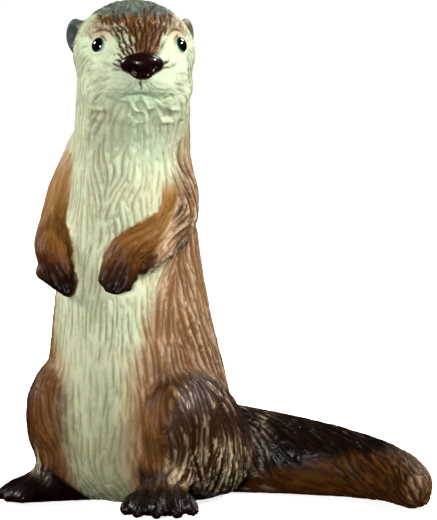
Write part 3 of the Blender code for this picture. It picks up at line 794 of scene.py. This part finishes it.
# Gold ochre lies on the arms, and sienna on the back, the lower flanks, the forearms and the tail.
past_wrist = 0.93 * x + 0.37 * y - 1.1 - 0.44 * (z - 31)
crook = 1 - left_arm * rise(past_wrist, -0.4, 1.2)  # the rest of the left arm stays flank
gold = limbs * (1 - strewn(z, 41, 48, 2)) * crook * free_arms
back = strewn(turned, 85, 140, 14) * rise(-z, -60, -30) * 0.75
low_flank = strewn(turned, 26, 55, 8) * (1 - rise(z, 19, 29)) * 0.65
forearm = limbs * (1 - strewn(z, 34.5, 43, 2)) * crook
sienna = most(back, low_flank, forearm, head_sides * in_head * 0.4, tail, low_sides * 0.85 * legs)

# Umber goes on the haunches, knees, wrists and rump, and black-brown on feet, paws and tail.
knee = fall(np.linalg.norm((skin.points - (8.9, -8.9, 16.8)) / (4.8, 5, 4.4), axis=1))
toe_reach = np.hypot(x - 7.0, y + 6.4)  # from the heel of the left foot
instep = rise(6.6 - z, 0, 2) * rise(-y, 9.5, 10.5) * rise(x, 3.5, 5) * (1 - rise(x, 10.5, 12))
instep = instep * (1 - rise(toe_reach, 5.5, 7.5))
umber = most(
    thighs * strewn(wide, 8.5, 12, 1.5) * 0.9,
    knee * 0.8,
    legs * (1 - strewn(z, 4.5, 7.5, 1.5)) * rise(wide, 5, 8) * 0.8,
    limbs * (1 - strewn(z, 31, 36, 1.5)),
    strewn(turned, 75, 120, 14) * (1 - rise(z, 8, 24)) * 0.8,
    instep,
    rise(wide, 10, 12) * rise(y, -4, 2) * thighs,
    tail * rise(x, 32, 37) * 0.5,
)
right_foot_top = 5.2 - 0.8 * (0.927 * x + 0.375 * y + 11.6)  # the height that the right foot reaches
tail_low = (x - 18) * 0.05 + (6 - z) * 0.22
soot = most(
    rise(5 - z, 0, 1) * rise(x, 1, 3) * legs * strewn(toe_reach, 5.5, 8, 1.0),
    rise(right_foot_top - z, -0.3, 0.7) * rise(-x, 3, 5) * rise(-y, 2, 6) * legs,
    limbs * (1 - strewn(z, 28.8, 32.5, 0.8)) * 0.75,
    tail * (1 - strewn(tail_low, 0.1, 0.85, 0.3)),
    thighs * strewn(y, -5, 4, 3) * 0.6,
    instep * 0.4,
    part["ear_left"] * 0.45,
)
shine = most(soot, umber * 0.6) * (1 - instep)

# A rust patch is brushed over the forehead, and whisker lines beside the nose.
patch_ends = rise(above, -1.3, -0.7) * (1 - strewn(above, 4.1, 5.3, 1)) * rise(ahead, -6, -3) * in_head
patch_width = 3.1 + 2.2 * rise(above, 0.5, 4.2)
patch = (1 - rise(np.abs(aside + 0.2) - patch_width, -0.6, 0.5)) * patch_ends
patch_core = (1 - rise(np.abs(aside - 0.9) - 1.6 - rise(above, 0.5, 4) * 1.6, -0.9, 0.9)) * patch_ends
patch_top = fall(np.abs(above - 3.9) / 1.3) * patch * 0.7
from_fan = np.hypot(aside, above - FAN_LOW)
whiskers = rise(from_fan, 2.8, 3.2) * (1 - strewn(from_fan, 4.0, 4.8, 0.6)) * rise(above, -3.4, -2.2)
whiskers = whiskers * rise(ahead, -1, 1)
rust = most(patch_core, patch_top) * (1 - 0.8 * ridge ** 2.5 * rise(lock, 0.4, 0.65))
rust = np.clip(rust + most(patch * (ink * 1.1 + 0.25), whiskers * ink), 0, 1)

# Crown and ears are grey. Frost is dry-brushed on crests, grey on the tail's top crests is a painted rim
# highlight, and pale tan on crests is both dry brush and painted highlight.
# These crest masks carry the frost's dry brush, the grey painted rim highlight, and the pale tan dry brush
# and painted highlights.
brushed_and_lit_crests = ridge ** 1.6 * rise(lock, 0.15, 0.5)
fine_brushed_and_lit_crests = ridge ** 4 * rise(lock, 0.1, 0.4)
crown = strewn(above, 3.8, 4.8, 1.0) * (1 - rise(-ahead, 9, 15)) * in_head
# A painted rim highlight in grey on the tail's upward-facing crests.
tail_rim_highlight = tail * rise(skin_normals[:, 2], 0.65, 0.95) * rise(x, 16, 20)
grey = most(crown, part["ear_left"] + part["ear_right"], tail_rim_highlight * brushed_and_lit_crests)
hem = haunches * (1 - strewn(z, 5, 10, 3)) * rise(wide, 7.5, 10) * (1 - rise(y, 2, 6))
frost = most(hem, tail * rise(x, 33, 38) * 0.12) * brushed_and_lit_crests
# Pale tan on the crests of the haunch's outer side, knee, elbow, flank and tail root is a dry brush that also
# serves as painted highlights.
outside = haunches * rise(x, 9.6, 11.6) * (1 - rise(y, -5, 3) * 0.8)
lit_haunch = outside * (1 - rise(z, 7, 12)) * 0.9
lit_knee = outside * (1 - rise(z, 17, 19)) * (0.35 + 0.5 * rise(z, 12.5, 15)) * fine_brushed_and_lit_crests
tail_root = tail * (1 - rise(x, 14.5, 17)) * 0.5 * fine_brushed_and_lit_crests
elbow = left_arm * rise(past_wrist, 0, 1.2) * (1 - rise(z, 40, 44))
flank = sides * (1 - legs) * (1 - tail) * rise(x, 0, 4)
bloom = most(most(lit_haunch, elbow, flank * 0.6) * brushed_and_lit_crests, lit_knee, tail_root)

# The dark wash stays in the tool marks, most of all behind the left arm, on temples and lip.
far_side = rise(around, 42, 58) * rise(z, 22, 40) * (1 - rise(z, 46, 50)) * most(sides, arms * (1 - crook))
settled = most(
    far_side,
    flank * 0.65,
    sides * 0.5,
    legs * (0.55 + 0.45 * rise(x, 8, 10)) * (0.65 + 0.35 * rise(z, 5, 11)),
    tail * (1 - 0.3 * rise(2.5 - tail_low, 0, 2)),
    temples,
    fall(np.hypot(aside + 0.14, (above + 4.9) * 0.35) / 0.4),
    rust * 0.5,
    sienna * 0.3,
)
settled = np.clip(settled, 0, 1) * ink ** (0.65 - 0.2 * legs - 0.3 * temples)

# Painted shade and reflected light lie on the cream: olive shade low on the belly, green for light reflected
# under the jaw on throat and chin, and a darker green shade under the lip.
# Painted shade: olive, strongest low on the belly and more on the figure's left.
olive = (1 - rise(z, 4, 30)) * (0.7 + 0.3 * rise(x, -2, 2))
# Painted shade under the upper lip: a darker green along the mouth.
lip = fall(np.hypot((above + 6.1) / 0.8, aside / 3.6)) * rise(ahead, -1, 1)
# Green on chin and throat is painted greenish light reflected into the shade under the jaw.
chin = fall(np.hypot((above + 6.8) / 2.8, aside / 6.5)) * rise(ahead, -1, 1)
throat = fall(np.hypot((z - 50) / 8, aside / 6.5)) * rise(-y, 1, 4)
pale = in_head * (1 - head_sides)

layers = dict(
    ink=ink, ridge=ridge, lock=lock, sand=sand, gold=gold, sienna=sienna, umber=umber, soot=soot,
    rust=rust, grey=grey, frost=frost, bloom=bloom, settled=settled, olive=olive, lip=lip,
    chin=chin, throat=throat, pale=pale, shine=shine,
)
for name, values in layers.items():
    layer = body.data.attributes.new(name, "FLOAT", "POINT")
    layer.data.foreach_set("value", np.clip(values, 0, 1).astype(np.float32))


def colour(*shade):
    """A paint given as red, green and blue in the usual 0 to 255, as the shader wants it."""
    parts = [value / 255 for value in shade]
    linear = [p / 12.92 if p <= 0.04045 else ((p + 0.055) / 1.055) ** 2.4 for p in parts]
    return (*linear, 1.0)


class Wire:
    """A shader socket that can be reckoned with: arithmetic on it adds Math nodes."""

    def __init__(self, bench, socket):
        self.bench, self.socket = bench, socket

    def math(self, operation, first, second, clamp=False):
        """The wire that one Math node gives."""
        settings = {"operation": operation, "use_clamp": clamp}
        return self.bench.node("ShaderNodeMath", settings, {0: first, 1: second})

    def __add__(self, other):
        return self.math("ADD", self, other)

    __radd__ = __add__

    def __sub__(self, other):
        return self.math("SUBTRACT", self, other)

    def __rsub__(self, other):
        return self.math("SUBTRACT", other, self)

    def __mul__(self, other):
        return self.math("MULTIPLY", self, other)

    __rmul__ = __mul__

    def clamped(self):
        """The same value, kept from 0 to 1."""
        return self.math("ADD", self, 0.0, clamp=True)


class Finish:
    """A material under construction."""

    def __init__(self, name):
        self.material = bpy.data.materials.new(name)
        self.material.use_nodes = True
        self.tree = self.material.node_tree
        self.tree.nodes.clear()

    def node(self, kind, settings=None, sockets=None, out=0):
        """Adds a node: settings first, then values or wires on its sockets. Gives one output."""
        node = self.tree.nodes.new(kind)
        for name, value in (settings or {}).items():
            if name == "stops":
                ramp = node.color_ramp
                while len(ramp.elements) < len(value):
                    ramp.elements.new(0.5)
                for element, (place, shade) in zip(ramp.elements, value):
                    element.position, element.color = place, shade
            else:
                setattr(node, name, value)
        for name, value in (sockets or {}).items():
            if isinstance(value, Wire):
                self.tree.links.new(value.socket, node.inputs[name])
            else:
                node.inputs[name].default_value = value
        return None if out is None else Wire(self, node.outputs[out])

    def sprayed(self, name, blots):
        """A painted mask whose cover varies with the blots, but never beyond the mask."""
        return (self.layer(name) * (0.86 + blots * 0.36)).clamped()

    def mixed(self, share, first, second, blend="MIX"):
        """Two colours mixed by a share."""
        settings = {"data_type": "RGBA", "blend_type": blend, "clamp_factor": True}
        sockets = {0: share, 6: first, 7: second}
        return self.node("ShaderNodeMix", settings, sockets, out=2)

    def layer(self, name):
        """A mask painted on the piece."""
        return self.node("ShaderNodeAttribute", {"attribute_name": name}, out="Fac")

    def grain(self, size, detail=3.0, roughness=0.55):
        """Noise whose blots are about that many metres across, fixed to the piece."""
        place = self.node("ShaderNodeTexCoord", out="Object")
        sockets = {"Vector": place, "Scale": 1 / size, "Detail": detail, "Roughness": roughness}
        return self.node("ShaderNodeTexNoise", {}, sockets, out=0)

    def gritty(self, height):
        """A faint bump from a height."""
        sockets = {"Strength": 0.15, "Distance": 0.00005, "Height": height}
        return self.node("ShaderNodeBump", {}, sockets, out="Normal")

    def finished(self, **sockets):
        """The material with these values on its surface shader."""
        names = {name.replace("_", " "): value for name, value in sockets.items()}
        shader = self.node("ShaderNodeBsdfPrincipled", {}, names)
        self.node("ShaderNodeOutputMaterial", {}, {"Surface": shader}, out=None)
        return self.material


CREAM, CREAM_COOL, CREAM_WASH = colour(216, 212, 176), colour(204, 220, 184), colour(118, 112, 70)
# The green is painted reflected light under the jaw, the lip's dark green is painted shade under the lip, and
# olive is painted shade low on the belly.
REFLECTED_GREEN, LIP_SHADE_GREEN, OLIVE_SHADE = colour(192, 216, 180), colour(112, 140, 104), colour(170, 168, 132)
SPRAYS = {  # the deep shade of each, and the light one on its crests
    "sand": (colour(150, 106, 64), colour(194, 152, 110)),
    "gold": (colour(146, 104, 50), colour(170, 130, 74)),
    "sienna": (colour(98, 54, 10), colour(136, 94, 42)),
    "umber": (colour(50, 22, 2), colour(88, 52, 18)),
}
SOOT, RUST, RUST_DARK = colour(14, 5, 2), colour(100, 62, 14), colour(54, 28, 6)
GREY, DARK_WASH = colour(66, 76, 70), colour(24, 9, 2)
# Frost is dry brush. The pale tan is dry brush and also painted highlight on the crests.
FROST, BRUSHED_HIGHLIGHT = colour(206, 184, 142), colour(194, 172, 144)

paint = Finish("figurine_paint")
ink_mask, ridge_mask, lock_mask = paint.layer("ink"), paint.layer("ridge"), paint.layer("lock")
blot = paint.grain(0.004, 4)
speck = paint.grain(0.0007, 2)
tone = paint.mixed((blot * 1.8 - 0.45).clamped(), CREAM, CREAM_COOL)
# Over the cream go painted reflected light on throat and chin and painted shade under the lip.
for name, strength, shade in (
    ("pale", 0.7, CREAM_COOL), ("throat", 0.75, REFLECTED_GREEN), ("chin", 0.8, REFLECTED_GREEN), ("lip", 0.6, LIP_SHADE_GREEN)
):
    tone = paint.mixed(paint.layer(name) * strength, tone, shade)
# Olive painted shade low on the belly.
tone = paint.mixed(paint.layer("olive"), tone, OLIVE_SHADE)
# The wash is thinned on the throat, which paints it lighter against the chin's shadow.
tone = paint.mixed(ink_mask * (0.7 - paint.layer("throat") * 0.45), tone, CREAM_WASH)
for name, shades in SPRAYS.items():
    streak = paint.mixed(lock_mask * ridge_mask * 0.8, *shades)
    tone = paint.mixed(paint.sprayed(name, blot), tone, streak)
tone = paint.mixed(paint.layer("rust"), tone, paint.mixed(ink_mask, RUST, RUST_DARK))
# Grey paint on crown and ears, and a grey painted rim highlight on the tail's top crests.
tone = paint.mixed(paint.sprayed("grey", blot) * (1 - ink_mask * 0.3), tone, GREY)
tone = paint.mixed(paint.sprayed("soot", blot) * 1.25, tone, SOOT)
tone = paint.mixed(paint.layer("frost"), tone, FROST)
# Pale tan dry brush and painted highlight on the crests.
tone = paint.mixed(paint.layer("bloom"), tone, BRUSHED_HIGHLIGHT)
tone = paint.mixed(paint.layer("settled") * 0.92, tone, DARK_WASH)
dust = paint.mixed(speck, colour(168, 168, 168), colour(255, 255, 255))
figurine_paint = paint.finished(
    Base_Color=paint.mixed(0.3, tone, dust, "MULTIPLY"),
    Roughness=0.46 - paint.layer("shine") * 0.2 + ink_mask * 0.25,
    Specular_IOR_Level=0.13,
    Normal=paint.gritty(speck),
)
body.data.materials.append(figurine_paint)
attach(body, "root")
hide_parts(*FLESH)


# -------------------- the eyes
# Each eye is a raised bead of the same casting. It is painted black with a thin blue-green rim, and
# sealed under a drop of gloss varnish.
EYE_RINGS, EYE_SPOKES, EYE_BULGE = 24, 40, 1.12
EYE_WRAP = 0.62 * math.pi  # how far round from its tip a bead reaches


def bead(name, node, out):
    """A domed bead in a part's box, with the distance from its middle kept as a layer."""
    low, high = corners(node)
    middle, half = (low + high) / 2, (high - low).max() / 2 * EYE_BULGE
    out = Vector(out)
    across = out.orthogonal().normalized()
    down = out.cross(across)
    shape = bmesh.new()
    angles = [2 * math.pi * spoke / EYE_SPOKES for spoke in range(EYE_SPOKES)]
    sides = [across * math.cos(angle) + down * math.sin(angle) for angle in angles]
    rings = []
    for ring in range(1, EYE_RINGS + 1):
        turn = EYE_WRAP * ring / EYE_RINGS
        ways = [out * math.cos(turn) + side * math.sin(turn) for side in sides]
        rings.append([shape.verts.new(way * half) for way in ways])
    tip = shape.verts.new(out * half)
    foot = shape.verts.new(out * half * math.cos(EYE_WRAP) * 1.05)
    for spoke in range(EYE_SPOKES):
        after = (spoke + 1) % EYE_SPOKES
        shape.faces.new((tip, rings[0][spoke], rings[0][after]))
        for inner, outer in zip(rings, rings[1:]):
            shape.faces.new((inner[spoke], outer[spoke], outer[after], inner[after]))
        shape.faces.new((foot, rings[-1][after], rings[-1][spoke]))
    bmesh.ops.recalc_face_normals(shape, faces=shape.faces)
    bmesh.ops.translate(shape, verts=shape.verts, vec=Vector(middle))
    bmesh.ops.scale(shape, vec=(1 / MM,) * 3, verts=shape.verts)
    piece = added(name, cast(name, shape))
    rim = piece.data.attributes.new("rim", "FLOAT", "POINT")
    for index, vertex in enumerate(piece.data.vertices):
        gap = vertex.co - Vector(middle) / MM
        rim.data[index].value = (gap - out * gap.dot(out)).length / (half / MM)
    return piece


varnish = Finish("eye_varnish")
edge = varnish.node(
    "ShaderNodeValToRGB",
    {"stops": [(0.62, colour(6, 6, 6)), (0.74, colour(18, 34, 30)), (0.84, colour(140, 172, 150))]},
    {"Fac": varnish.layer("rim")},
)
eye_paint = varnish.finished(Base_Color=edge, Roughness=0.08, Coat_Weight=1.0, Coat_Roughness=0.03)
for side in EYES:
    eyeball = bead("gloss_eye_" + side, "eye_" + side, eye_ways[side][0])
    eyeball.data.materials.append(eye_paint)
    unwrapped(eyeball, 0.01)
    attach(eyeball, "root")
    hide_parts("eye_" + side)


# -------------------- the nose
# The nose pad is a smooth raised pad of the casting under maroon-black gloss, with two nostrils
# pressed in as commas and a shallow groove down the middle.
NOSE_GRAIN = 0.09
NOSTRIL_WIDTH, NOSTRIL_DEPTH = 0.42, 0.55

nose_form = Surface(modified(welded("nose", 0.05), "REMESH", mode="VOXEL", voxel_size=NOSE_GRAIN))
nose_form.main_shell()
nose_form.points = nose_form.relaxed(nose_form.points, 30)
nose_normals = nose_form.normals()
ahead, aside, above = headwise(nose_form.points, NOSE)
facing = nose_normals @ HEAD_AHEAD
hollow = np.zeros(len(aside))
for hand in (1, -1):
    for step in range(12):
        bend = step / 11
        across = hand * (0.75 + 1.0 * bend ** 0.8)
        height = -0.85 + 1.15 * bend - 0.3 * bend * bend
        reach = np.hypot(aside - across, above - height)
        width = NOSTRIL_WIDTH * (1.1 - 0.5 * bend)
        hollow = np.maximum(hollow, np.exp(-((reach / width) ** 2)) * (1 - 0.35 * bend))
cleft = np.exp(-((aside / 0.22) ** 2)) * rise(-above, -0.3, 1.0) * 0.25
nose_form.points -= HEAD_AHEAD * ((hollow * NOSTRIL_DEPTH + cleft) * (facing > 0))[:, None]
nose_form.points = nose_form.relaxed(nose_form.points, 2)
nose = added("gloss_nose", mesh_from("gloss_nose", nose_form.points / MM, nose_form.faces))
unwrapped(nose, 0.01)

lacquer = Finish("nose_lacquer")
dusk = lacquer.mixed(lacquer.grain(0.0012), colour(16, 3, 4), colour(28, 8, 9))
nose_lacquer = lacquer.finished(
    Base_Color=dusk, Roughness=0.22, Specular_IOR_Level=0.25, Normal=lacquer.gritty(lacquer.grain(0.0005))
)
nose.data.materials.append(nose_lacquer)
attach(nose, "root")
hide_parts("nose")


# -------------------- floor, light and camera
# The figure stands on a sheet of pale card that curves up behind it, under four soft square lamps.
# The camera stands a little round to its left and looks slightly down.
SHEET_HALF, SHEET_BACK, SHEET_BEND, SHEET_HIGH = 1.6, 1.2, 0.5, 1.6
profile = [(-SHEET_HALF, 0.0)]
for step in range(13):
    angle = math.pi / 2 * step / 12
    back = SHEET_BACK - SHEET_BEND + SHEET_BEND * math.sin(angle)
    profile.append((back, SHEET_BEND - SHEET_BEND * math.cos(angle)))
profile.append((SHEET_BACK, SHEET_HIGH))
edges = [(across, *place) for across in (-SHEET_HALF, SHEET_HALF) for place in profile]
many = len(profile)
strips = [(step, many + step, many + step + 1, step + 1) for step in range(many - 1)]
floor = added("floor", mesh_from("floor", np.array(edges), np.array(strips)))
card = Finish("pale_card")
fleck = card.mixed(card.grain(0.02), colour(247, 247, 245), colour(252, 252, 251))
white = colour(255, 255, 255)
pale_card = card.finished(Base_Color=fleck, Roughness=0.9, Emission_Color=white, Emission_Strength=0.8)
floor.data.materials.append(pale_card)
floor.visible_glossy = False
floor.visible_diffuse = False


def faced(name, data, turn, tilt, away, middle):
    """A camera or lamp that faces the figure: turn from the front towards its left, and tilt up."""
    turn, tilt = math.radians(turn), math.radians(tilt)
    way_out = Vector((math.sin(turn) * math.cos(tilt), -math.cos(turn) * math.cos(tilt), math.sin(tilt)))
    thing = placed(name, data)
    thing.location = Vector(middle) + way_out * away
    thing.rotation_euler = way_out.to_track_quat("Z", "Y").to_euler()
    return thing


VIEW_TURN, VIEW_TILT, VIEW_AWAY, VIEW_LENS = 22, 5, 0.5, 256
VIEW_ASIDE, VIEW_HEIGHT = 0.01128, 0.0325  # where the view is aimed, from the middle of the base
sideways = math.radians(VIEW_TURN)
look_at = (math.cos(sideways) * VIEW_ASIDE, math.sin(sideways) * VIEW_ASIDE, VIEW_HEIGHT)
camera_data = bpy.data.cameras.new("camera")
camera_data.lens, camera_data.sensor_width, camera_data.clip_start = VIEW_LENS, 36, 0.01
bpy.context.scene.camera = faced("camera", camera_data, VIEW_TURN, VIEW_TILT, VIEW_AWAY, look_at)

# Each lamp: turn, tilt, distance, size and power.
LAMPS = {
    "front_light": (12, 5, 0.6, 0.12, 3.15),
    "right_light": (92, 36, 0.6, 0.08, 4.8),
    "left_light": (-80, 30, 0.6, 0.14, 3.5),
    "back_light": (150, 45, 0.6, 0.2, 2.2),
}
for name, (turn, tilt, away, size, power) in LAMPS.items():
    lamp = bpy.data.lights.new(name, "AREA")
    lamp.size, lamp.energy = size, power
    faced(name, lamp, turn, tilt, away, (0, 0, 0.035))
world = bpy.data.worlds.new("studio")
world.use_nodes = True
daylight = world.node_tree.nodes["Background"].inputs
daylight["Color"].default_value, daylight["Strength"].default_value = (1, 1, 1, 1), 1.0
bpy.context.scene.world = world
world.cycles_visibility.diffuse = False
world.cycles_visibility.glossy = False
bpy.context.scene.view_settings.view_transform = "Standard"
